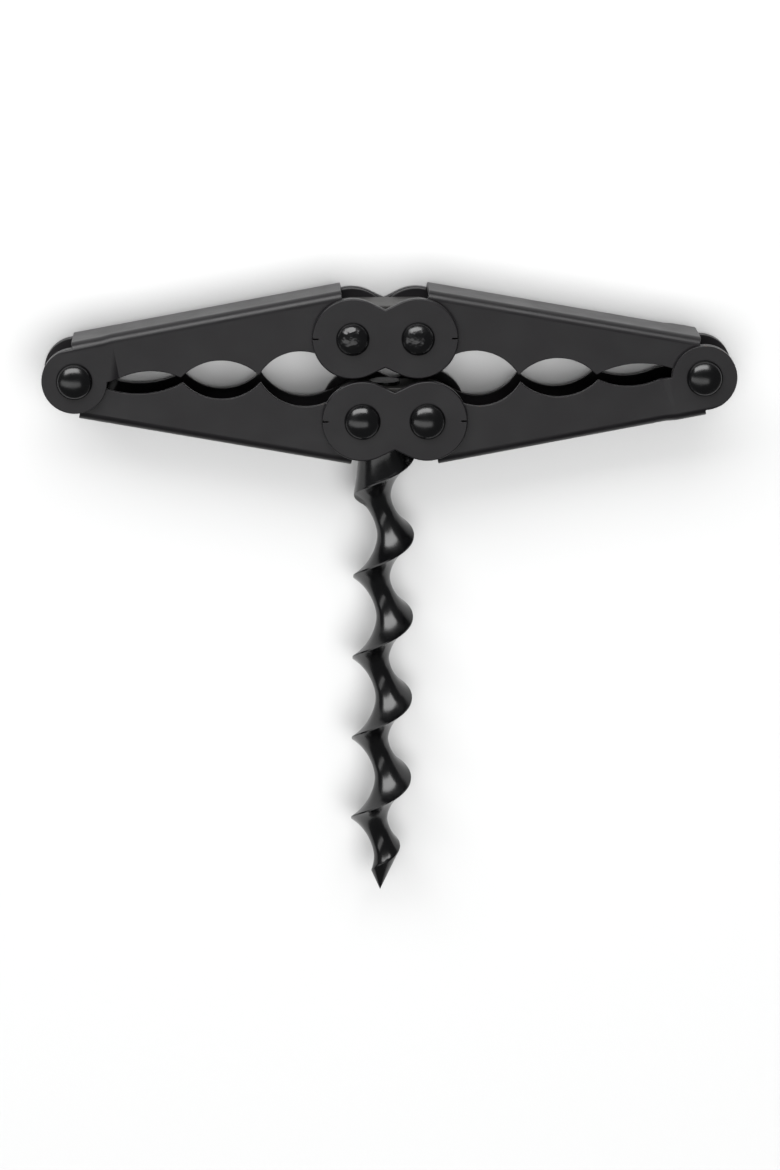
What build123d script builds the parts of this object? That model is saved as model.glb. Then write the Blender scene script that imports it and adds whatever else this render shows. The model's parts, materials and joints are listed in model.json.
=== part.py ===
from build123d import *
from math import acos, atan2, cos, degrees, hypot, radians, sin, sqrt
import os

# Folding four-arm corkscrew. Four scalloped channel arms are joined by two figure-8 links in the
# middle and by one rivet at each outer end, and a solid screw worm hangs from the lower link.
# Millimetres. X runs along the folded arms, the worm points to -Y, and the part lies on the flat
# tails of its rivets, on the plane Z = 0. The origin is the middle of the footprint.

os.makedirs("parts", exist_ok=True)

# ---- driving dimensions: the rivet layout ----
outer_half = 63.4  # middle to an outer rivet
link_half_gap = 8.45  # middle to a link's rivet line
link_pitch = 13.09  # rivet to rivet in one link
link_shift = 0.955  # upper link this far to the left, lower link this far to the right

# ---- sheet channels ----
sheet = 1.1
channel_width = 12.6  # outside to outside of the two cheeks
bend = 1.85  # outside radius of the folds
fold_inside = 0.15  # struck tight inside, so that the other arm's disc clears it
web_outer = 7.75  # outer rivet to the outside of the web
web_inner = 9.65  # link rivet to the outside of the web
web_setback = 0.6  # the web stops this far short of the link rivet
disc_radius = 6.6  # round outer end of a cheek
layer_gap = 0.06  # air between two cheeks that turn on each other
joggle = sheet + layer_gap  # step that lets one cheek pass over the next
joggle_start = 6.9  # the step, measured from the outer rivet
joggle_end = 9.0
lobe_outer = 8.0  # round inner end, on the web side
lobe_inner = 6.35  # round inner end, on the side that faces the other arm
lobe_low = -70  # angle of a point on the smaller round
lobe_leave = 225  # angle where the lobe runs into the scallops
short_web_start = 0.9  # where the web begins, from the outer rivet
long_web_start = 2.1
short_neck_angle = -10  # where the disc runs into the scallops
long_neck_angle = 7
blank_depth = 20  # folded strip before the scallops are cut, deeper than any cheek

# ---- links and spacer blocks ----
plate = 1.6
plate_radius = 8.15
plate_waist = 5.87  # half the height of the figure 8 at its waist
plate_edge = 0.3  # blunted rim
nick_length = 1.3
nick_width = 0.28
block_radius = 6.3
block_play = 0.1  # the block is this much shallower than the channel's inside

# ---- rivets ----
shank_radius = 1.9
running_gap = 0.05  # radial, where an arm turns on the rivet
seat_gap = 0.02  # radial, where the rivet is set fast
head_radius = 3.65
upper_head_radius = 3.35  # the upper link's heads are hammered a little smaller
head_height = 2.2
head_edge = 0.2  # straight rim under the dome
dome_samples = 6
tail_radius = 3.3
tail_height = 0.9  # below the rear link plate
tail_chamfer = 0.35
tube_radius = 3.2

# ---- worm ----
worm_x = -0.9  # the worm's axis, off the middle
worm_lean = 0.6  # degrees towards -X at the tip
worm_length = 94.9  # shoulder to point
worm_radius = 6.2
worm_pitch = 17.2
core_radius = 1.45
rim_half = 0.16  # half the thickness of the rim, along the axis
first_rim = 10.4  # shoulder to the rim's first pass on the left
blade_start = 0.2  # the blade grows out of the collar this far below the shoulder
collar_radius = 5.1
collar_run_out = 1  # the collar's slanted end stops this far above the rim
tenon_radius = 2.2
tenon_head_radius = 3
tenon_head_height = 0.7
tenon_length = 12.6  # through the carrier block
point_angle = 24.5  # half the angle of the ground point
groove_samples = 9

# ---- heights ----
cheek_face = channel_width / 2
link_face = cheek_face + layer_gap + plate
mid_height = link_face + tail_height  # middle plane of the channels above the resting plane
raised_face = cheek_face + joggle

# ---- the two stamping lengths ----
left_link_x = -link_shift - link_pitch / 2
right_link_x = -link_shift + link_pitch / 2
long_run = outer_half - right_link_x
short_run = outer_half + left_link_x
short_arm = hypot(short_run, link_half_gap)  # upper left and lower right
long_arm = hypot(long_run, link_half_gap)  # lower left and upper right
short_slope = degrees(atan2(link_half_gap, short_run))
long_slope = degrees(atan2(link_half_gap, long_run))


def web_taper(arm_length):
    """Angle between the web and the line through an arm's two rivets."""
    return degrees(atan2(web_inner - web_outer, arm_length))


# ---- the origin sits in the middle of the footprint ----
corner_slope = radians(short_slope + web_taper(short_arm))
top_reach = link_half_gap + web_inner * cos(corner_slope) - web_setback * sin(corner_slope)
shoulder_drop = link_half_gap + block_radius
point_reach = shoulder_drop + worm_length * cos(radians(worm_lean))
mid_y = (point_reach - top_reach) / 2

upper_left = (left_link_x, mid_y + link_half_gap)
upper_right = (right_link_x, mid_y + link_half_gap)
lower_left = (-right_link_x, mid_y - link_half_gap)
lower_right = (-left_link_x, mid_y - link_half_gap)
outer_left = (-outer_half, mid_y)
outer_right = (outer_half, mid_y)


def polar(centre, radius, angle):
    """Point on a circle, with the angle in degrees."""
    return (centre[0] + radius * cos(radians(angle)), centre[1] + radius * sin(radians(angle)))


def channel_section(station, taper, front_face):
    """U section across the web, at a distance along it from the outer rivet."""
    along = Vector(cos(radians(taper)), sin(radians(taper)), 0)
    outward = Vector(-sin(radians(taper)), cos(radians(taper)), 0)
    across = Plane(origin=along * station + outward * web_outer, x_dir=(0, 0, 1), z_dir=along)
    width = front_face + cheek_face
    with BuildSketch(across) as section:
        with Locations((-cheek_face, 0)):
            Rectangle(width, blank_depth, align=(Align.MIN, Align.MIN))
        fillet(section.vertices().group_by(Axis.Y)[0], bend)
        with BuildSketch(across, mode=Mode.PRIVATE) as hollow:
            with Locations((-cheek_face + sheet, sheet)):
                Rectangle(width - 2 * sheet, blank_depth, align=(Align.MIN, Align.MIN))
            fillet(hollow.vertices().group_by(Axis.Y)[0], fold_inside)
        add(hollow.sketch_local, mode=Mode.SUBTRACT)
    return section.sketch


def cheek_outline(arm_length, slope, web_start, neck, scallops):
    """Side view of an arm: rivet to rivet along X, web towards +Y, scallops towards -Y."""
    taper = web_taper(arm_length)
    inner = (arm_length, 0)
    web_end = arm_length * cos(radians(taper)) - web_setback
    above_web = web_outer + 2

    def on_web(station, height):
        return (
            station * cos(radians(taper)) - height * sin(radians(taper)),
            station * sin(radians(taper)) + height * cos(radians(taper)),
        )

    inner_drop = arm_length * sin(radians(taper))
    disc_top = on_web(web_start, sqrt(disc_radius**2 - web_start**2))
    lobe_top = on_web(web_end, sqrt(lobe_outer**2 - web_setback**2) - inner_drop)
    facing = -slope
    facing_top = facing + degrees(acos(lobe_inner / lobe_outer))
    lobe_join = polar(inner, lobe_inner, lobe_leave)
    lobe_bottom = polar(inner, lobe_inner, lobe_low)
    top_angle = degrees(atan2(lobe_top[1], lobe_top[0] - arm_length))
    with BuildSketch() as outline:
        with BuildLine():
            Polyline(disc_top, on_web(web_start, above_web), on_web(web_end, above_web), lobe_top)
            ThreePointArc(
                lobe_top,
                polar(inner, lobe_outer, (top_angle + facing_top) / 2),
                polar(inner, lobe_outer, facing_top),
            )
            Line(polar(inner, lobe_outer, facing_top), polar(inner, lobe_inner, facing))
            ThreePointArc(polar(inner, lobe_inner, facing), lobe_bottom, lobe_join)
            Polyline(lobe_join, scallops[-1])
            for start, crown, end in zip(scallops[0::2], scallops[1::2], scallops[2::2]):
                ThreePointArc(start, crown, end)
            if neck != scallops[0]:
                Line(scallops[0], neck)
            ThreePointArc(neck, (-disc_radius, 0), disc_top)
        make_face()
    return outline.sketch


def channel_arm(arm_length, slope, web_start, neck, scallops, outer_hole_gap):
    """Stamped channel with a stepped front cheek at its outer end."""
    taper = web_taper(arm_length)
    plain = channel_section(joggle_end, taper, cheek_face)
    stepped = channel_section(joggle_start, taper, raised_face)
    reach = arm_length + blank_depth
    direction = Vector(cos(radians(taper)), sin(radians(taper)), 0)
    with BuildPart() as arm:
        extrude(plain, amount=reach, dir=direction)
        extrude(stepped, amount=reach, dir=-direction)
        loft([stepped, plain], ruled=True)
        extrude(
            cheek_outline(arm_length, slope, web_start, neck, scallops),
            amount=channel_width,
            both=True,
            mode=Mode.INTERSECT,
        )
        with Locations((0, 0)):
            Cylinder(shank_radius + outer_hole_gap, 3 * channel_width, mode=Mode.SUBTRACT)
        with Locations((arm_length, 0)):
            Cylinder(shank_radius + running_gap, 3 * channel_width, mode=Mode.SUBTRACT)
    return arm


# ---- the two stampings: scallop points are (along the rivet line, across it) ----
short_neck = polar((0, 0), disc_radius, short_neck_angle)
short_scallops = [
    (8.9, -1.0),
    (15.5, -0.5),
    (21.2, -2.75),
    (29.95, -0.57),
    (36.8, -4.7),
    (45.4, -1.1),
    (49.4, -2.5),
]
long_neck = polar((0, 0), disc_radius, long_neck_angle)
long_scallops = [
    long_neck,
    (13.5, 0.92),
    (21.65, -2.57),
    (30.7, -0.43),
    (37.1, -4.85),
    (46.3, -1.05),
    (50.6, -2.5),
]
short_stamping = channel_arm(
    short_arm, short_slope, short_web_start, short_neck, short_scallops, running_gap
)
long_stamping = channel_arm(
    long_arm, long_slope, long_web_start, long_neck, long_scallops, seat_gap
)

# ---- the arms: each stamping is used twice, turned end for end ----
turned_stamping = long_stamping.part.rotate(Axis.X, 180)

with BuildPart() as upper_left_arm:
    add(short_stamping.part.rotate(Axis.Z, short_slope).moved(Location((*outer_left, mid_height))))
upper_left_arm.part.label = "upper_left_arm"
export_step(upper_left_arm.part, "parts/upper_left_arm.step")

with BuildPart() as lower_right_arm:
    add(
        short_stamping.part.rotate(Axis.Z, 180 + short_slope).moved(
            Location((*outer_right, mid_height))
        )
    )
lower_right_arm.part.label = "lower_right_arm"
export_step(lower_right_arm.part, "parts/lower_right_arm.step")

with BuildPart() as lower_left_arm:
    add(turned_stamping.rotate(Axis.Z, -long_slope).moved(Location((*outer_left, mid_height))))
lower_left_arm.part.label = "lower_left_arm"
export_step(lower_left_arm.part, "parts/lower_left_arm.step")

with BuildPart() as upper_right_arm:
    add(
        turned_stamping.rotate(Axis.Z, 180 - long_slope).moved(
            Location((*outer_right, mid_height))
        )
    )
upper_right_arm.part.label = "upper_right_arm"
export_step(upper_right_arm.part, "parts/upper_right_arm.step")


# ---- links ----
def link_plate(centre, bottom):
    """Figure-8 plate with V notches at its waist and a parting nick at each end."""
    half = link_pitch / 2
    reach = hypot(half, plate_waist)
    flank = 180 - degrees(atan2(plate_waist, half)) - degrees(acos(plate_radius / reach))
    touch = polar((half, 0), plate_radius, flank)
    with BuildPart() as body:
        with BuildSketch(Plane.XY.offset(bottom)):
            with Locations((centre[0], centre[1])):
                with Locations((-half, 0), (half, 0)):
                    Circle(plate_radius)
                Polygon(
                    (0, plate_waist),
                    touch,
                    (touch[0], -touch[1]),
                    (0, -plate_waist),
                    (-touch[0], -touch[1]),
                    (-touch[0], touch[1]),
                    align=None,
                )
        extrude(amount=plate)
        rims = body.faces().filter_by(Axis.Z)
        fillet([edge for face in rims for edge in face.edges()], plate_edge)
        with BuildSketch(Plane.XY.offset(bottom)):
            with Locations((centre[0], centre[1])):
                with Locations((-half, 0), (half, 0)):
                    Circle(shank_radius + seat_gap)
                with Locations((-half - plate_radius, 0), (half + plate_radius, 0)):
                    Rectangle(2 * nick_length, nick_width)
        extrude(amount=plate, mode=Mode.SUBTRACT)
    return body


upper_centre = (-link_shift, mid_y + link_half_gap)
lower_centre = (link_shift, mid_y - link_half_gap)
front_bottom = mid_height + cheek_face + layer_gap
rear_bottom = mid_height - link_face

upper_link_front_plate = link_plate(upper_centre, front_bottom)
upper_link_front_plate.part.label = "upper_link_front_plate"
export_step(upper_link_front_plate.part, "parts/upper_link_front_plate.step")

upper_link_rear_plate = link_plate(upper_centre, rear_bottom)
upper_link_rear_plate.part.label = "upper_link_rear_plate"
export_step(upper_link_rear_plate.part, "parts/upper_link_rear_plate.step")

lower_link_front_plate = link_plate(lower_centre, front_bottom)
lower_link_front_plate.part.label = "lower_link_front_plate"
export_step(lower_link_front_plate.part, "parts/lower_link_front_plate.step")

lower_link_rear_plate = link_plate(lower_centre, rear_bottom)
lower_link_rear_plate.part.label = "lower_link_rear_plate"
export_step(lower_link_rear_plate.part, "parts/lower_link_rear_plate.step")

# ---- spacer blocks between the cheeks ----
block_depth = channel_width - 2 * sheet - block_play
block_bottom = mid_height - block_depth / 2


def spacer_block(centre):
    """Solid block with a hole for each of the link's rivets."""
    with BuildPart() as block:
        with BuildSketch(Plane.XY.offset(block_bottom)):
            with Locations((centre[0], centre[1])):
                SlotCenterToCenter(link_pitch, 2 * block_radius)
                with Locations((-link_pitch / 2, 0), (link_pitch / 2, 0)):
                    Circle(shank_radius + seat_gap, mode=Mode.SUBTRACT)
        extrude(amount=block_depth)
    return block


upper_spacer_block = spacer_block(upper_centre)
upper_spacer_block.part.label = "upper_spacer_block"
export_step(upper_spacer_block.part, "parts/upper_spacer_block.step")

shoulder = Plane(
    origin=(worm_x, mid_y - shoulder_drop, mid_height), x_dir=(-1, 0, 0), z_dir=(0, -1, 0)
)
with BuildPart() as worm_carrier_block:
    add(spacer_block(lower_centre).part)
    with BuildSketch(shoulder):
        Circle(tenon_radius + seat_gap)
    extrude(amount=-tenon_length, mode=Mode.SUBTRACT)
worm_carrier_block.part.label = "worm_carrier_block"
export_step(worm_carrier_block.part, "parts/worm_carrier_block.step")


# ---- rivets ----
def rivet(position, half_grip, cap_radius, front_gap):
    """Rivet with an elliptical dome, whose flat tail reaches down to the resting plane."""
    seat = mid_height + half_grip + front_gap
    under = mid_height - half_grip
    rise = head_height - head_edge
    slopes = [radians(90 * i / dome_samples) for i in range(dome_samples + 1)]
    dome = [(cap_radius * cos(t), seat + head_edge + rise * sin(t)) for t in slopes]
    with BuildPart() as body:
        with BuildSketch(Plane.XZ):
            with BuildLine():
                Polyline(
                    (0, seat + head_height),
                    (0, 0),
                    (tail_radius - tail_chamfer, 0),
                    (tail_radius, tail_chamfer),
                    (tail_radius, under),
                    (shank_radius, under),
                    (shank_radius, seat),
                    (cap_radius, seat),
                    (cap_radius, seat + head_edge),
                )
                Spline(*dome, tangents=((0, 1), (-1, 0)))
            make_face()
        revolve(axis=Axis.Z)
    with BuildPart() as placed:
        add(body.part.moved(Location((*position, 0))))
    return placed


upper_left_link_rivet = rivet(upper_left, link_face, upper_head_radius, 0)
upper_left_link_rivet.part.label = "upper_left_link_rivet"
export_step(upper_left_link_rivet.part, "parts/upper_left_link_rivet.step")

upper_right_link_rivet = rivet(upper_right, link_face, upper_head_radius, 0)
upper_right_link_rivet.part.label = "upper_right_link_rivet"
export_step(upper_right_link_rivet.part, "parts/upper_right_link_rivet.step")

lower_left_link_rivet = rivet(lower_left, link_face, head_radius, 0)
lower_left_link_rivet.part.label = "lower_left_link_rivet"
export_step(lower_left_link_rivet.part, "parts/lower_left_link_rivet.step")

lower_right_link_rivet = rivet(lower_right, link_face, head_radius, 0)
lower_right_link_rivet.part.label = "lower_right_link_rivet"
export_step(lower_right_link_rivet.part, "parts/lower_right_link_rivet.step")

left_outer_rivet = rivet(outer_left, raised_face, head_radius, layer_gap)
left_outer_rivet.part.label = "left_outer_rivet"
export_step(left_outer_rivet.part, "parts/left_outer_rivet.step")

right_outer_rivet = rivet(outer_right, raised_face, head_radius, layer_gap)
right_outer_rivet.part.label = "right_outer_rivet"
export_step(right_outer_rivet.part, "parts/right_outer_rivet.step")


# ---- spacer tubes on the outer rivets ----
def spacer_tube(position):
    """Tube that keeps the cheeks apart while the outer rivet is set."""
    with BuildPart() as tube:
        with BuildSketch(Plane.XY.offset(block_bottom)):
            with Locations(position):
                Circle(tube_radius)
                Circle(shank_radius + seat_gap, mode=Mode.SUBTRACT)
        extrude(amount=block_depth)
    return tube


left_spacer_tube = spacer_tube(outer_left)
left_spacer_tube.part.label = "left_spacer_tube"
export_step(left_spacer_tube.part, "parts/left_spacer_tube.step")

right_spacer_tube = spacer_tube(outer_right)
right_spacer_tube.part.label = "right_spacer_tube"
export_step(right_spacer_tube.part, "parts/right_spacer_tube.step")

# ---- worm: a round bar with one helical groove, seen square to its axis ----
groove_half = worm_pitch / 2 - rim_half
groove_depth = worm_radius - core_radius
groove_arc = (groove_half**2 + groove_depth**2) / (2 * groove_depth)


def groove_radius(turn):
    """Distance from the axis to the groove, the given part of a turn away from the rim."""
    off_middle = worm_pitch * (0.5 - turn)
    return core_radius + groove_arc - sqrt(groove_arc**2 - off_middle**2)


rim_turn = rim_half / worm_pitch
turns = [rim_turn + (0.5 - rim_turn) * i / groove_samples for i in range(groove_samples + 1)]
flank = [polar((0, 0), groove_radius(turn), 360 * turn) for turn in turns]
mirrored = [(x, -y) for x, y in reversed(flank[:-1])]
start_angle = 360 * (blade_start - first_rim) / worm_pitch
blade_length = worm_length - blade_start
with BuildSketch(Plane.XY.offset(blade_start)) as blade_section:
    with BuildLine():
        Spline(*flank, *mirrored)
        ThreePointArc(mirrored[-1], (worm_radius, 0), flank[0])
    make_face()
blade = Solid.extrude_linear_with_rotation(
    blade_section.sketch.face().outer_wire().rotate(Axis.Z, start_angle),
    center=(0, 0, blade_start),
    normal=(0, 0, blade_length),
    angle=360 * blade_length / worm_pitch,
)
blank_radius = worm_radius + 1
point_height = blank_radius / sin(radians(point_angle)) * cos(radians(point_angle))
with BuildPart() as blade_part:
    add(blade)
    with BuildSketch(Plane.XZ):
        Polygon(
            (0, 0),
            (blank_radius, 0),
            (blank_radius, worm_length - point_height),
            (0, worm_length),
            align=None,
        )
    revolve(axis=Axis.Z, mode=Mode.INTERSECT)

collar_slope = degrees(atan2(worm_pitch / 2, 2 * worm_radius))
collar_end = Plane.XY.offset(first_rim - collar_run_out - worm_pitch / 4)
with BuildPart() as screw:
    Cylinder(collar_radius, first_rim, align=(Align.CENTER, Align.CENTER, Align.MIN))
    split(bisect_by=collar_end.rotated((0, -collar_slope, 0)), keep=Keep.BOTTOM)
    add(blade_part.part.rotate(Axis.Y, worm_lean))
    with BuildSketch(Plane.XY):
        Circle(tenon_radius)
    extrude(amount=-tenon_length)
    with BuildSketch(Plane.XY.offset(-tenon_length)):
        Circle(tenon_head_radius)
    extrude(amount=-tenon_head_height)
with BuildPart() as worm:
    add(screw.part.moved(shoulder.location))
worm.part.label = "worm"
export_step(worm.part, "parts/worm.step")
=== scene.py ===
import json
import logging
import math
from dataclasses import dataclass
from enum import Enum
from typing import Any

import bmesh
import bpy
import numpy as np
from mathutils import Matrix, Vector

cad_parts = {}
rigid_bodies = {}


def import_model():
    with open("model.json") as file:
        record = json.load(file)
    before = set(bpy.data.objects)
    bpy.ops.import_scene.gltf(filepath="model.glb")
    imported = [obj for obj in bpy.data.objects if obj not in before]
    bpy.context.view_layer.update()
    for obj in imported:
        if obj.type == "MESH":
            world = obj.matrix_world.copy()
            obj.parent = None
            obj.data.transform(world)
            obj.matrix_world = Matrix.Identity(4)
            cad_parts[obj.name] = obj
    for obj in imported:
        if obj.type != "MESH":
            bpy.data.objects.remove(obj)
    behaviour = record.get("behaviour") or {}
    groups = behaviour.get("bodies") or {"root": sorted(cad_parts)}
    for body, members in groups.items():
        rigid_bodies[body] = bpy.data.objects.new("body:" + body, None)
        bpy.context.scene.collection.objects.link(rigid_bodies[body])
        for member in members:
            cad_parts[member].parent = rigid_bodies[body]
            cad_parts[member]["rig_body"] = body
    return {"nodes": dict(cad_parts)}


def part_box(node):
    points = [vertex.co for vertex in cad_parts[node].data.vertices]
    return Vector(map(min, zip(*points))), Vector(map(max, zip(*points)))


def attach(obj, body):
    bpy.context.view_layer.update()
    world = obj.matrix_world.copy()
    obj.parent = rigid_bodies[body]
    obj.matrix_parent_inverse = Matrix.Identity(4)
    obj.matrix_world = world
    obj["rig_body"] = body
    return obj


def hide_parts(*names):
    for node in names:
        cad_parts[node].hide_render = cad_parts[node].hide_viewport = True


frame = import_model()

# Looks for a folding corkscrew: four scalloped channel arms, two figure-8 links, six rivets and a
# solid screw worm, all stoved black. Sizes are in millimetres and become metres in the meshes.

MM = 0.001
TURN = 2 * math.pi
QUARTER = math.pi / 2
SAME_POINT = 1e-7  # metres, under which two points of a new mesh are one
log = logging.getLogger("corkscrew")


class Slot(Enum):
    """The record's finish slots."""

    SATIN = "satin_enamel"
    GLOSS = "gloss_enamel"
    INNER = "inner_steel"


def linear(hex_colour: str) -> tuple[float, float, float, float]:
    """Turns an sRGB colour into linear light.

    Each channel c becomes c / 12.92 up to 0.04045 and ((c + 0.055) / 1.055) ** 2.4 above it.

    Args:
        hex_colour: "#rrggbb".

    Returns:
        Linear red, green, blue and an alpha of 1.
    """
    channels = [int(hex_colour[i : i + 2], 16) / 255 for i in (1, 3, 5)]
    red, green, blue = (
        c / 12.92 if c <= 0.04045 else ((c + 0.055) / 1.055) ** 2.4 for c in channels
    )
    return red, green, blue, 1.0


def per_metre(size_mm: float) -> float:
    """Pattern frequency, per metre, of a detail of this size."""
    return 1 / (size_mm * MM)


# ---- node trees ----


def add_node(
    tree: bpy.types.NodeTree, kind: str, inputs: dict[str | int, Any] | None = None, **settings: Any
) -> bpy.types.Node:
    """Adds a node, sets its properties and sets or links its inputs.

    Args:
        tree: The tree that gets the node.
        kind: The node's class, such as "ShaderNodeBump".
        inputs: Input name or number to a value, or to an output socket that feeds it.
        settings: Properties of the node itself.

    Returns:
        The new node.
    """
    made = tree.nodes.new(kind)
    for name, value in settings.items():
        setattr(made, name, value)
    for key, value in (inputs or {}).items():
        if isinstance(value, bpy.types.NodeSocket):
            tree.links.new(value, made.inputs[key])
        else:
            made.inputs[key].default_value = value
    return made


def new_material(name: str) -> tuple[bpy.types.Material, bpy.types.NodeTree]:
    """Makes an empty node material.

    Args:
        name: The finish's own name.

    Returns:
        The material and its cleared node tree.
    """
    material = bpy.data.materials.new(name)
    material.use_nodes = True
    material.node_tree.nodes.clear()
    return material, material.node_tree


def close_material(tree: bpy.types.NodeTree, shader: bpy.types.Node) -> None:
    """Feeds a shader to the material's surface."""
    add_node(tree, "ShaderNodeOutputMaterial", {"Surface": shader.outputs[0]})


# ---- finishes ----

ENAMEL_IOR = 1.5  # stoved alkyd enamel

@dataclass(frozen=True)
class SatinEnamel:
    """Stoved black enamel, sprayed thin on pressed steel.

    It gives the eye an even charcoal with a dull sheen. Up close the film has a fine orange peel,
    thick and thin patches that shift the sheen, a little dust under the film, and sheared edges
    where it pulled thin and shows warm brown primer.
    """

    name: str = "stoved_satin_enamel"
    colour: str = "#121113"
    patch_colour: str = "#181618"
    primer: str = "#5a4030"
    dust_colour: str = "#6f6d6a"
    roughness: tuple[float, float] = (0.34, 0.42)
    specular: float = 0.34
    peel_mm: float = 0.38
    grain_mm: float = 0.09
    patch_mm: float = 7.0
    chip_mm: float = 0.9
    chip_levels: tuple[float, float] = (0.64, 0.70)
    dust_mm: float = 1.6
    dust_radii: tuple[float, float] = (0.045, 0.02)
    clean_share: float = 0.9
    relief_mm: float = 0.012
    relief_strength: float = 0.6

    def material(self) -> bpy.types.Material:
        """Builds the enamel's nodes."""
        material, tree = new_material(self.name)
        place = add_node(tree, "ShaderNodeTexCoord").outputs["Object"]
        patches = add_node(
            tree,
            "ShaderNodeTexNoise",
            {"Vector": place, "Scale": per_metre(self.patch_mm), "Detail": 3.0},
        )
        peel = add_node(
            tree,
            "ShaderNodeTexNoise",
            {"Vector": place, "Scale": per_metre(self.peel_mm), "Detail": 1.0},
        )
        grain = add_node(
            tree,
            "ShaderNodeTexNoise",
            {"Vector": place, "Scale": per_metre(self.grain_mm), "Detail": 1.0},
        )
        film = add_node(
            tree,
            "ShaderNodeMix",
            {
                "Factor": patches.outputs["Fac"],
                "A": linear(self.colour),
                "B": linear(self.patch_colour),
            },
            data_type="RGBA",
        )
        edge = add_node(tree, "ShaderNodeAttribute", attribute_name="sheared_edge")
        chips = add_node(
            tree,
            "ShaderNodeTexNoise",
            {"Vector": place, "Scale": per_metre(self.chip_mm), "Detail": 4.0, "Roughness": 0.65},
        )
        chipped = add_node(
            tree,
            "ShaderNodeMapRange",
            {
                "Value": chips.outputs["Fac"],
                "From Min": self.chip_levels[0],
                "From Max": self.chip_levels[1],
            },
        )
        worn = add_node(
            tree,
            "ShaderNodeMath",
            {0: chipped.outputs["Result"], 1: edge.outputs["Fac"]},
            operation="MULTIPLY",
        )
        edged = add_node(
            tree,
            "ShaderNodeMix",
            {
                "Factor": worn.outputs["Value"],
                "A": film.outputs["Result"],
                "B": linear(self.primer),
            },
            data_type="RGBA",
        )
        specks = add_node(
            tree,
            "ShaderNodeTexVoronoi",
            {"Vector": place, "Scale": per_metre(self.dust_mm), "Randomness": 1.0},
        )
        dusty = add_node(
            tree,
            "ShaderNodeMapRange",
            {
                "Value": specks.outputs["Distance"],
                "From Min": self.dust_radii[0],
                "From Max": self.dust_radii[1],
            },
        )
        rare = add_node(
            tree,
            "ShaderNodeMath",
            {0: specks.outputs["Color"], 1: self.clean_share},
            operation="GREATER_THAN",
        )
        dust = add_node(
            tree,
            "ShaderNodeMath",
            {0: dusty.outputs["Result"], 1: rare.outputs["Value"]},
            operation="MULTIPLY",
        )
        colour = add_node(
            tree,
            "ShaderNodeMix",
            {
                "Factor": dust.outputs["Value"],
                "A": edged.outputs["Result"],
                "B": linear(self.dust_colour),
            },
            data_type="RGBA",
        )
        roughness = add_node(
            tree,
            "ShaderNodeMapRange",
            {
                "Value": patches.outputs["Fac"],
                "From Min": 0.3,
                "From Max": 0.7,
                "To Min": self.roughness[0],
                "To Max": self.roughness[1],
            },
        )
        texture = add_node(
            tree,
            "ShaderNodeMath",
            {0: grain.outputs["Fac"], 1: 0.5, 2: peel.outputs["Fac"]},
            operation="MULTIPLY_ADD",
        )
        relief = add_node(
            tree,
            "ShaderNodeBump",
            {
                "Height": texture.outputs["Value"],
                "Distance": self.relief_mm * MM,
                "Strength": self.relief_strength,
            },
        )
        shader = add_node(
            tree,
            "ShaderNodeBsdfPrincipled",
            {
                "Base Color": colour.outputs["Result"],
                "Roughness": roughness.outputs["Result"],
                "IOR": ENAMEL_IOR,
                "Specular IOR Level": self.specular,
                "Normal": relief.outputs["Normal"],
            },
        )
        close_material(tree, shader)
        return material


@dataclass(frozen=True)
class GlossEnamel:
    """Stoved black enamel, dipped thick and glossy.

    It gives the eye a deep black that mirrors the lamps as long soft streaks, slightly wavy
    because the film sags a little, with faint hazy patches from handling.
    """

    name: str = "dipped_gloss_enamel"
    colour: str = "#060607"
    roughness: tuple[float, float] = (0.17, 0.25)
    wave_mm: float = 1.4
    haze_mm: float = 3.0
    relief_mm: float = 0.012

    def material(self) -> bpy.types.Material:
        """Builds the enamel's nodes."""
        material, tree = new_material(self.name)
        place = add_node(tree, "ShaderNodeTexCoord").outputs["Object"]
        haze = add_node(
            tree,
            "ShaderNodeTexNoise",
            {"Vector": place, "Scale": per_metre(self.haze_mm), "Detail": 4.0},
        )
        waves = add_node(
            tree,
            "ShaderNodeTexNoise",
            {"Vector": place, "Scale": per_metre(self.wave_mm), "Detail": 1.0},
        )
        roughness = add_node(
            tree,
            "ShaderNodeMapRange",
            {
                "Value": haze.outputs["Fac"],
                "From Min": 0.35,
                "From Max": 0.65,
                "To Min": self.roughness[0],
                "To Max": self.roughness[1],
            },
        )
        relief = add_node(
            tree,
            "ShaderNodeBump",
            {
                "Height": waves.outputs["Fac"],
                "Distance": self.relief_mm * MM,
                "Strength": 0.5,
            },
        )
        shader = add_node(
            tree,
            "ShaderNodeBsdfPrincipled",
            {
                "Base Color": linear(self.colour),
                "Roughness": roughness.outputs["Result"],
                "IOR": ENAMEL_IOR,
                "Normal": relief.outputs["Normal"],
            },
        )
        close_material(tree, shader)
        return material


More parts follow.
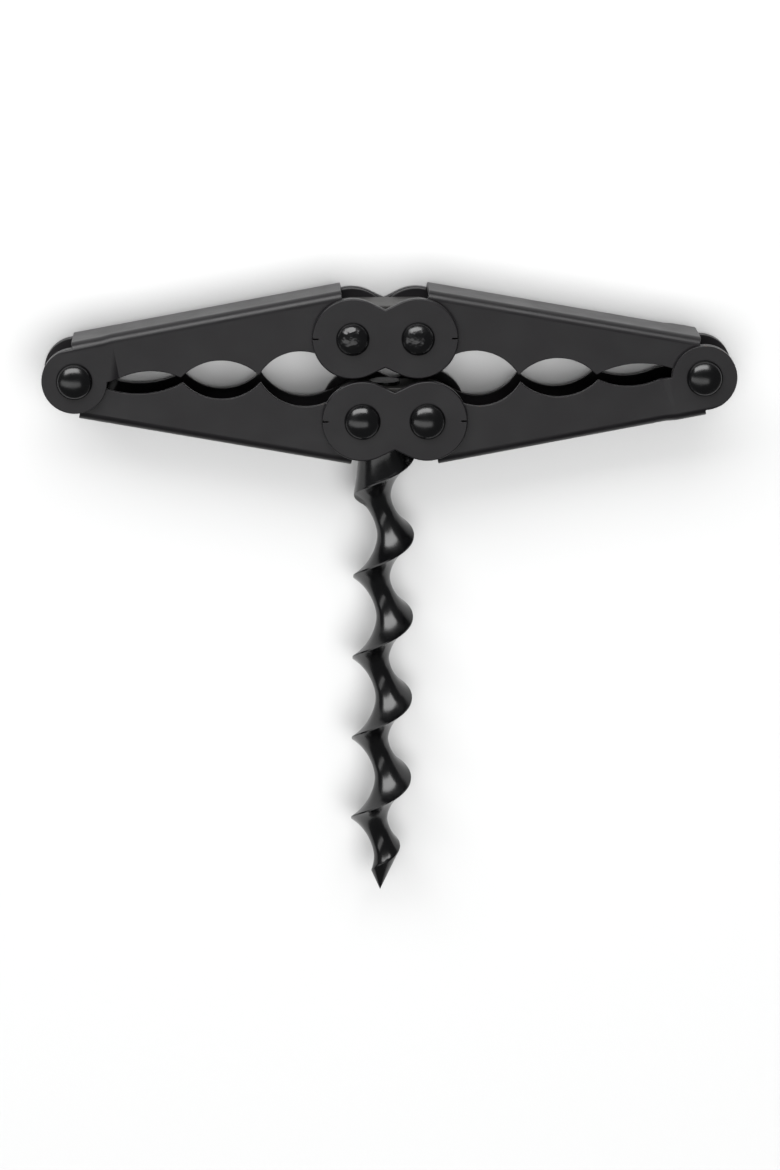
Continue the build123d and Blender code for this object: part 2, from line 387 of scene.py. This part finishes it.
@dataclass(frozen=True)
class InnerSteel:
    """Sawn steel bar under the same enamel, where the spray hardly reached.

    It gives the eye a greyer, rougher black than the arms, with fine saw lines across it.
    """

    name: str = "oversprayed_sawn_steel"
    colour: str = "#2b2a2a"
    light_colour: str = "#474644"
    line_mm: float = 0.25
    patch_mm: float = 1.5
    relief_mm: float = 0.02

    def material(self) -> bpy.types.Material:
        """Builds the steel's nodes."""
        material, tree = new_material(self.name)
        place = add_node(tree, "ShaderNodeTexCoord").outputs["Object"]
        across = add_node(tree, "ShaderNodeMapping", {"Vector": place, "Scale": (1.0, 0.08, 1.0)})
        lines = add_node(
            tree,
            "ShaderNodeTexNoise",
            {
                "Vector": across.outputs["Vector"],
                "Scale": per_metre(self.line_mm),
                "Detail": 2.0,
            },
        )
        patches = add_node(
            tree,
            "ShaderNodeTexNoise",
            {"Vector": place, "Scale": per_metre(self.patch_mm), "Detail": 4.0},
        )
        colour = add_node(
            tree,
            "ShaderNodeMix",
            {
                "Factor": patches.outputs["Fac"],
                "A": linear(self.colour),
                "B": linear(self.light_colour),
            },
            data_type="RGBA",
        )
        relief = add_node(
            tree,
            "ShaderNodeBump",
            {"Height": lines.outputs["Fac"], "Distance": self.relief_mm * MM, "Strength": 0.5},
        )
        shader = add_node(
            tree,
            "ShaderNodeBsdfPrincipled",
            {
                "Base Color": colour.outputs["Result"],
                "Metallic": 0.3,
                "Roughness": 0.5,
                "Normal": relief.outputs["Normal"],
            },
        )
        close_material(tree, shader)
        return material


@dataclass(frozen=True)
class MattPaper:
    """Pale grey background paper, matt, with a soft tooth that hardly shows.

    It gives the eye an even sheet that the lamps bring up to white, so shadows on it stay soft.
    """

    name: str = "matt_background_paper"
    colour: str = "#9a9a9a"
    tooth_mm: float = 0.6
    relief_mm: float = 0.03

    def material(self) -> bpy.types.Material:
        """Builds the paper's nodes."""
        material, tree = new_material(self.name)
        place = add_node(tree, "ShaderNodeTexCoord").outputs["Object"]
        tooth = add_node(
            tree,
            "ShaderNodeTexNoise",
            {"Vector": place, "Scale": per_metre(self.tooth_mm), "Detail": 2.0},
        )
        relief = add_node(
            tree,
            "ShaderNodeBump",
            {"Height": tooth.outputs["Fac"], "Distance": self.relief_mm * MM, "Strength": 0.3},
        )
        shader = add_node(
            tree,
            "ShaderNodeBsdfPrincipled",
            {
                "Base Color": linear(self.colour),
                "Roughness": 0.9,
                "Normal": relief.outputs["Normal"],
            },
        )
        close_material(tree, shader)
        return material


# ---- meshes ----


def grid_quads(rows: int, columns: int) -> np.ndarray:
    """Faces of a grid of points that closes on itself along its columns.

    Point (i, j) is number i * columns + j; its face joins it to (i, j + 1), (i + 1, j + 1) and
    (i + 1, j), with j + 1 taken round to 0.

    Args:
        rows: Number of rings.
        columns: Points in each ring.

    Returns:
        Point numbers of each face, four to a row.
    """
    ring = np.arange(rows - 1)[:, None] * columns
    here = np.arange(columns)[None, :]
    after = (here + 1) % columns
    corners = (ring + here, ring + after, ring + columns + after, ring + columns + here)
    return np.stack(corners, axis=-1).reshape(-1, 4)


def solid_mesh(name: str, points: np.ndarray, faces: np.ndarray) -> bpy.types.Object:
    """Makes a closed piece from points in millimetres.

    Args:
        name: The piece's name.
        points: Coordinates, one point to a row.
        faces: Point numbers, one face to a row. Faces that shrink to a pole are closed there.

    Returns:
        The new object, at the origin.
    """
    mesh = bpy.data.meshes.new(name)
    mesh.from_pydata((points * MM).tolist(), [], faces.tolist())
    shape = bmesh.new()
    shape.from_mesh(mesh)
    bmesh.ops.remove_doubles(shape, verts=shape.verts, dist=SAME_POINT)
    bmesh.ops.recalc_face_normals(shape, faces=shape.faces)
    shape.to_mesh(mesh)
    shape.free()
    mesh.shade_smooth()
    made = bpy.data.objects.new(name, mesh)
    bpy.context.scene.collection.objects.link(made)
    return made


def smoothstep(value: np.ndarray) -> np.ndarray:
    """Eases from 0 to 1: t * t * (3 - 2 * t), with t held between 0 and 1."""
    t = np.clip(value, 0, 1)
    return t * t * (3 - 2 * t)


def place_piece(
    piece: bpy.types.Object, node: str, material: bpy.types.Material
) -> None:
    """Dresses a piece, lets it ride with a node's body and shows it in that node's place.

    Args:
        piece: The finished piece.
        node: The CAD node that it stands for.
        material: Its finish.
    """
    piece.data.materials.clear()
    piece.data.materials.append(material)
    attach(piece, frame["nodes"][node]["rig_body"])
    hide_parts(node)
    log.info("%s: %d faces", piece.name, len(piece.data.polygons))


@dataclass(frozen=True)
class PressedPart:
    """A stamped, folded or sawn piece whose sheared edges are eased."""

    node: str
    edge_mm: float
    slot: Slot
    sharp_from: float = 30.0
    segments: int = 2
    merge_mm: float = 0.002
    flat_within: float = 0.3

    def eased_mesh(self) -> bpy.types.Mesh:
        """Copies the node's mesh, merges it into whole faces and rounds its sharp edges.

        Returns:
            The new mesh. Its face attribute "sheared_edge" is 1 on the rounded rims.
        """
        source = frame["nodes"][self.node].data
        points = np.empty(len(source.vertices) * 3, np.float32)
        source.vertices.foreach_get("co", points)
        corners = np.empty(len(source.loops), np.int32)
        source.loops.foreach_get("vertex_index", corners)
        mesh = bpy.data.meshes.new(self.node + "_eased")
        mesh.from_pydata(points.reshape(-1, 3).tolist(), [], corners.reshape(-1, 3).tolist())
        shape = bmesh.new()
        shape.from_mesh(mesh)
        worn = shape.faces.layers.float.new("sheared_edge")
        bmesh.ops.remove_doubles(shape, verts=shape.verts, dist=self.merge_mm * MM)
        flat = math.radians(self.flat_within)
        bmesh.ops.dissolve_limit(shape, angle_limit=flat, verts=shape.verts, edges=shape.edges)
        limit = math.radians(self.sharp_from)
        sharp = [e for e in shape.edges if e.is_manifold and e.calc_face_angle(0) > limit]
        rims = bmesh.ops.bevel(
            shape,
            geom=sharp,
            offset=self.edge_mm * MM,
            segments=self.segments,
            profile=0.5,
            affect="EDGES",
            clamp_overlap=False,
        )
        for face in rims["faces"]:
            face[worn] = 1.0
        shape.to_mesh(mesh)
        shape.free()
        mesh.shade_smooth()
        return mesh

    def build(self, material: bpy.types.Material) -> bpy.types.Object:
        """Makes the piece.

        Args:
            material: Its finish.

        Returns:
            The piece, riding with its node's body.
        """
        piece = bpy.data.objects.new(self.node + "_pressed", self.eased_mesh())
        bpy.context.scene.collection.objects.link(piece)
        even = piece.modifiers.new("even_flats", "WEIGHTED_NORMAL")
        even.keep_sharp = True
        place_piece(piece, self.node, material)
        return piece


@dataclass(frozen=True)
class ArmSet:
    """Four scalloped channel arms."""

    nodes: tuple[str, ...] = (
        "upper_left_arm",
        "upper_right_arm",
        "lower_left_arm",
        "lower_right_arm",
    )
    edge_mm: float = 0.14

    def build(self, material: bpy.types.Material) -> None:
        """Makes the arms in this finish."""
        for node in self.nodes:
            PressedPart(node, self.edge_mm, Slot.SATIN).build(material)


@dataclass(frozen=True)
class LinkSet:
    """Two links, each with a front plate, a rear plate and a block between them."""

    plates: tuple[str, ...] = (
        "upper_link_front_plate",
        "upper_link_rear_plate",
        "lower_link_front_plate",
        "lower_link_rear_plate",
    )
    blocks: tuple[str, ...] = ("upper_spacer_block", "worm_carrier_block")
    tubes: tuple[str, ...] = ("left_spacer_tube", "right_spacer_tube")
    plate_edge_mm: float = 0.06
    block_edge_mm: float = 0.2
    tube_edge_mm: float = 0.12

    def build(self, plate: bpy.types.Material, inner: bpy.types.Material) -> None:
        """Makes the plates, blocks and tubes.

        Args:
            plate: Finish of the plates.
            inner: Finish of the blocks and of the tubes on the outer rivets.
        """
        for node in self.plates:
            PressedPart(node, self.plate_edge_mm, Slot.SATIN, 50.0, 1).build(plate)
        for node in self.blocks:
            PressedPart(node, self.block_edge_mm, Slot.INNER).build(inner)
        for node in self.tubes:
            PressedPart(node, self.tube_edge_mm, Slot.INNER).build(inner)


# ---- rivets ----


class Dome(Enum):
    """How a rivet's head was closed."""

    SMOOTH = "smooth"
    HAMMERED = "hammered"


@dataclass(frozen=True)
class Rivet:
    """A domed rivet with a flat tail, turned about an axis parallel to Z."""

    node: str
    dome: Dome
    head_radius: float
    tail_top: float
    head_height: float = 2.2
    rim: float = 0.2
    shank_radius: float = 1.9
    tail_radius: float = 3.3
    tail_rings: tuple[float, float] = (1.2, 2.2)
    tail_ease: float = 0.35
    ease_steps: int = 5
    edge_break: float = 0.08
    under_head: float = 0.1
    crease_angle: float = 35.0
    sides: int = 96
    dome_rings: int = 40
    dents: int = 120
    dent_radius: float = 0.5
    dent_spread: tuple[float, float] = (0.7, 1.3)
    dent_depth: float = 0.05
    dented_within: float = 0.93
    fade_from: float = 0.86
    fade_width: float = 0.12
    seed: int = 7

    def profile(self, top: float) -> np.ndarray:
        """Half outline from the tail's centre to the head's centre.

        The dome is a quarter ellipse above the straight rim: radius = head_radius * cos(t) and
        height = seat + rim + rise * sin(t), for t from 0 to a quarter turn.

        Args:
            top: Height of the crown.

        Returns:
            Radius and height of each point, one to a row.
        """
        seat = top - self.head_height
        rise = self.head_height - self.rim
        angles = np.linspace(0, QUARTER, self.dome_rings)
        dome = np.column_stack(
            [self.head_radius * np.cos(angles), seat + self.rim + rise * np.sin(angles)]
        )
        swing = np.linspace(QUARTER, 0, self.ease_steps)
        inset = self.tail_ease * (1 - np.cos(swing))
        lift = self.tail_ease * (1 - np.sin(swing))
        tail_rim = np.column_stack([self.tail_radius - inset, lift])
        corner = self.edge_break
        tail = np.vstack(
            [
                [[0, 0], *([ring, 0] for ring in self.tail_rings)],
                tail_rim,
                [
                    [self.tail_radius, self.tail_top - corner],
                    [self.tail_radius - corner, self.tail_top],
                    [self.shank_radius, self.tail_top],
                    [self.shank_radius, seat],
                    [self.head_radius - self.under_head, seat],
                    [self.head_radius, seat + corner],
                ],
            ]
        )
        return np.vstack([tail, dome])

    def dented(self, x: np.ndarray, y: np.ndarray) -> np.ndarray:
        """How deep the hammer left each point of the head.

        The depth is dent_depth * max over all dents of (1 - (d / dent_radius) ** 2), held at 0
        and above, where d is the distance to the dent's centre, so the dents meet in crisp ridges.

        Args:
            x: Distances from the rivet's axis along X.
            y: Distances from it along Y.

        Returns:
            Depth in millimetres, the same shape as x.
        """
        draw = np.random.default_rng(self.seed)
        radius = self.head_radius * self.dented_within * np.sqrt(draw.random(self.dents))
        angle = TURN * draw.random(self.dents)
        size = self.dent_radius * draw.uniform(*self.dent_spread, self.dents)
        apart = np.hypot(
            x[..., None] - radius * np.cos(angle), y[..., None] - radius * np.sin(angle)
        )
        return self.dent_depth * np.clip(1 - (apart / size) ** 2, 0, 1).max(axis=-1)

    def build(self, material: bpy.types.Material) -> bpy.types.Object:
        """Makes the rivet.

        The outline turns about the axis: a point at radius r and height z goes to
        (r * cos(t), r * sin(t), z) for t from 0 to a full turn.

        Args:
            material: Its finish.

        Returns:
            The piece, riding with its node's body.
        """
        low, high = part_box(self.node)
        outline = self.profile(high.z / MM)
        angle = np.linspace(0, TURN, self.sides, endpoint=False)
        x = outline[:, :1] * np.cos(angle)
        y = outline[:, :1] * np.sin(angle)
        z = np.repeat(outline[:, 1:], self.sides, axis=1)
        if self.dome is Dome.HAMMERED:
            outward = outline[:, :1] / self.head_radius
            inward = 1 - smoothstep((outward - self.fade_from) / self.fade_width)
            on_head = z > high.z / MM - self.head_height + self.rim
            z = z - self.dented(x, y) * on_head * inward
        centre = (low + high) / 2 / MM
        points = np.stack([x + centre.x, y + centre.y, z], axis=-1).reshape(-1, 3)
        piece = solid_mesh(self.node + "_turned", points, grid_quads(len(outline), self.sides))
        piece.data.set_sharp_from_angle(angle=math.radians(self.crease_angle))
        place_piece(piece, self.node, material)
        return piece


@dataclass(frozen=True)
class RivetSet:
    """Six rivets: two in each link and one at each outer end."""

    small_head: float = 3.35
    large_head: float = 3.65
    link_tail: float = 0.9
    outer_tail: float = 1.4

    def build(self, material: bpy.types.Material) -> None:
        """Makes the rivets in this finish."""
        for side, seed in (("left", 7), ("right", 19)):
            Rivet(
                f"upper_{side}_link_rivet",
                Dome.HAMMERED,
                self.small_head,
                self.link_tail,
                seed=seed,
            ).build(material)
            Rivet(
                f"lower_{side}_link_rivet", Dome.SMOOTH, self.large_head, self.link_tail
            ).build(material)
            Rivet(f"{side}_outer_rivet", Dome.SMOOTH, self.large_head, self.outer_tail).build(
                material
            )


# ---- worm ----


@dataclass(frozen=True)
class Worm:
    """A solid screw: a round shank, one helical groove with a thin rim, and a ground point.

    Stations are measured from the shoulder, under the link, towards the point.
    """

    node: str = "worm"
    length: float = 94.9
    radius: float = 6.2
    pitch: float = 17.2
    core: float = 1.36
    rim_half: float = 0.16
    first_rim: float = 10.4
    shank: float = 5.4
    tenon: float = 2.2
    tenon_length: float = 12.6
    tenon_head: float = 3.0
    tenon_head_height: float = 0.7
    point_angle: float = 24.5
    run_out_length: float = 3.4
    run_out_step: float = 0.02
    front_slope: float = 3.0
    front_bias: float = 0.2
    crowding: float = 0.6
    crease_angle: float = 50.0
    lean: float = 0.6
    axis_x: float = -0.9
    shoulder_y: float = 31.158
    axis_z: float = 8.86
    rows: int = 420
    flank_steps: int = 46

    def groove(self, turn: np.ndarray) -> np.ndarray:
        """Radius of the bare groove, a part of a turn away from the rim.

        The groove's profile along the axis is a circular arc from rim to rim, with its deepest
        point at the core: radius = core + a - sqrt(a * a - (pitch * (1/2 - turn)) ** 2), where
        a = (w * w + d * d) / (2 * d) for a half width w and a depth d.

        Args:
            turn: Fraction of a turn, from 0 to 1.

        Returns:
            Radius in millimetres.
        """
        width = self.pitch / 2 - self.rim_half
        depth = self.radius - self.core
        arc = (width**2 + depth**2) / (2 * depth)
        off = np.clip(np.abs(self.pitch * (0.5 - turn)), 0, width)
        return self.core + arc - np.sqrt(arc**2 - off**2)

    def body_radius(self, station: np.ndarray, turn: np.ndarray) -> np.ndarray:
        """Radius of the whole worm.

        The shank reaches down to the rim's first pass at the front and runs out into the groove
        at the back. It flares on the way, with the square of the distance, from its own radius to
        the rim's. The point is the smaller of the screw and a cone.

        Args:
            station: Distance from the shoulder.
            turn: Fraction of a turn past the rim.

        Returns:
            Radius in millimetres.
        """
        bare = self.groove(turn)
        angle = (station - self.first_rim) / self.pitch - turn
        around = (angle + 0.5) % 1.0 - 0.5
        end = self.first_rim - self.pitch * np.abs(around)
        front = smoothstep(-np.sin(TURN * around) * self.front_slope + self.front_bias)
        fade = self.run_out_length * (1 - front) + self.run_out_step
        run_out = smoothstep((station - end) / fade + front * 0.5)
        down = np.clip(station / np.maximum(end, 0.5), 0, 1)
        filled = np.maximum(bare, self.shank + (self.radius - self.shank) * down**2)
        body = filled + (bare - filled) * run_out
        cone = (self.length - station) * math.tan(math.radians(self.point_angle))
        return np.minimum(body, np.maximum(cone, 0))

    def build(self, material: bpy.types.Material) -> bpy.types.Object:
        """Makes the worm.

        A ring at station s holds the points at fractions a past the rim, at the angle
        2 * pi * ((s - first_rim) / pitch - a), so one line of points follows the rim exactly.

        Args:
            material: Its finish.

        Returns:
            The piece, riding with its node's body.
        """
        rim = self.rim_half / self.pitch
        step = np.linspace(0, 1, self.flank_steps)
        eased = step - np.sin(TURN * step) / TURN * self.crowding
        turn = np.append(rim + (1 - 2 * rim) * eased, 1.0)
        station = np.linspace(0, self.length, self.rows)
        along, past = np.meshgrid(station, turn, indexing="ij")
        radius = self.body_radius(along, past)
        top = -self.tenon_length - self.tenon_head_height
        neck = np.array(
            [
                [top, 0],
                [top, self.tenon_head],
                [-self.tenon_length, self.tenon_head],
                [-self.tenon_length, self.tenon],
                [0, self.tenon],
                [0, self.shank],
            ]
        )
        neck_along = np.repeat(neck[:, :1], len(turn), axis=1)
        neck_radius = np.repeat(neck[:, 1:], len(turn), axis=1)
        angle = TURN * ((along - self.first_rim) / self.pitch - past)
        angle = np.vstack([np.repeat(angle[:1], len(neck), axis=0), angle])
        along = np.vstack([neck_along, along])
        radius = np.vstack([neck_radius, radius])
        lean = np.clip(along, 0, None) * math.tan(math.radians(self.lean))
        x = self.axis_x - radius * np.cos(angle) - lean
        z = self.axis_z - radius * np.sin(angle)
        y = self.shoulder_y - along
        points = np.stack([x, y, z], axis=-1).reshape(-1, 3)
        piece = solid_mesh(self.node + "_turned", points, grid_quads(len(along), len(turn)))
        piece.data.set_sharp_from_angle(angle=math.radians(self.crease_angle))
        place_piece(piece, self.node, material)
        return piece


# ---- studio ----


@dataclass(frozen=True)
class Softbox:
    """An oblong lamp with a white front. A screened one lights the paper only.

    Place and size are in metres and power in watts.
    """

    name: str
    place: tuple[float, float, float]
    size: tuple[float, float]
    power: float
    screened: bool = False

    def build(self, aim: tuple[float, float, float], paper: bpy.types.Object) -> None:
        """Hangs the lamp and turns it to the object, with its long side across.

        Args:
            aim: The point it shines at, in metres.
            paper: The floor, the only thing that a screened lamp lights.
        """
        light = bpy.data.lights.new(self.name, "AREA")
        light.shape = "RECTANGLE"
        light.size, light.size_y = self.size
        light.energy = self.power
        lamp = bpy.data.objects.new(self.name, light)
        bpy.context.scene.collection.objects.link(lamp)
        lamp.location = self.place
        lamp.visible_camera = False
        if self.screened:
            lit = bpy.data.collections.new(self.name + "_lights")
            lit.objects.link(paper)
            lamp.light_linking.receiver_collection = lit
        away = np.array(self.place) - np.array(aim)
        away = away / np.linalg.norm(away)
        across = np.array([1.0, 0.0, 0.0]) - away[0] * away
        across = across / np.linalg.norm(across)
        turned = np.stack([across, np.cross(away, across), away], axis=1)
        lamp.rotation_euler = Matrix(turned.tolist()).to_euler()


@dataclass(frozen=True)
class Studio:
    """Pale paper, two lamps for the part, two for the paper alone, and the camera."""

    aim: tuple[float, float, float] = (0.0, 3.2, 15.2)
    distance: float = 875.5
    tip_back: float = 13.9
    step_left: float = 1.63
    lens: float = 132.3
    sensor: float = 36.0
    clip_start: float = 0.05
    floor_half: float = 3.0
    sky: str = "#eef0f2"
    sky_strength: float = 0.16
    lamps: tuple[Softbox, ...] = (
        Softbox("key_softbox", (-0.3, 1.1, 0.9), (1.7, 0.8), 31.0),
        Softbox("overhead_softbox", (-0.45, -0.25, 1.15), (2.1, 0.46), 5.8),
        Softbox("paper_softbox", (0.1, 0.7, 1.2), (2.6, 2.0), 22.0, True),
        Softbox("paper_fill", (0.1, -0.15, 1.3), (1.2, 0.8), 30.0, True),
    )

    def build(self) -> None:
        """Lays the paper, lights it and sets up the camera."""
        paper = self.lay_floor()
        for lamp in self.lamps:
            lamp.build(tuple(c * MM for c in self.aim), paper)
        world = bpy.data.worlds.new("studio_air")
        world.use_nodes = True
        world.node_tree.nodes.clear()
        air = add_node(
            world.node_tree,
            "ShaderNodeBackground",
            {"Color": linear(self.sky), "Strength": self.sky_strength},
        )
        add_node(world.node_tree, "ShaderNodeOutputWorld", {"Surface": air.outputs[0]})
        bpy.context.scene.world = world
        bpy.context.scene.view_settings.view_transform = "Standard"
        self.set_camera()

    def lay_floor(self) -> bpy.types.Object:
        """Makes the flat sheet of paper that the part lies on."""
        half = self.floor_half
        mesh = bpy.data.meshes.new("paper_floor")
        corners = [(-half, -half, 0), (half, -half, 0), (half, half, 0), (-half, half, 0)]
        mesh.from_pydata(corners, [], [(0, 1, 2, 3)])
        floor = bpy.data.objects.new("paper_floor", mesh)
        floor.data.materials.append(MattPaper().material())
        bpy.context.scene.collection.objects.link(floor)
        return floor

    def set_camera(self) -> None:
        """Places the camera above the part, tipped back over its upper side.

        The line of sight leans tip_back degrees towards +Y and step_left degrees towards -X from
        the vertical, and the picture's upward direction is +Y.
        """
        camera = bpy.data.cameras.new("camera")
        camera.lens = self.lens
        camera.sensor_width = self.sensor
        camera.clip_start = self.clip_start
        rig = bpy.data.objects.new("camera", camera)
        bpy.context.scene.collection.objects.link(rig)
        tip, step = math.radians(self.tip_back), math.radians(self.step_left)
        level = math.cos(tip)
        back = np.array([-math.sin(step) * level, math.sin(tip), math.cos(step) * level])
        back /= np.linalg.norm(back)
        right = np.cross([0.0, 1.0, 0.0], back)
        right /= np.linalg.norm(right)
        up = np.cross(back, right)
        turned = Matrix(np.column_stack([right, up, back]).tolist()).to_4x4()
        place = np.array(self.aim) * MM + back * self.distance * MM
        turned.translation = place.tolist()
        rig.matrix_world = turned
        bpy.context.scene.camera = rig


def main() -> None:
    """Builds the pieces in order."""
    logging.basicConfig(level=logging.INFO, format="%(name)s: %(message)s")
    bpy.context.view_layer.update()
    satin = SatinEnamel().material()
    gloss = GlossEnamel().material()
    inner = InnerSteel().material()
    ArmSet().build(satin)
    LinkSet().build(satin, inner)
    RivetSet().build(gloss)
    Worm().build(gloss)
    Studio().build()


if __name__ == "__main__":
    main()
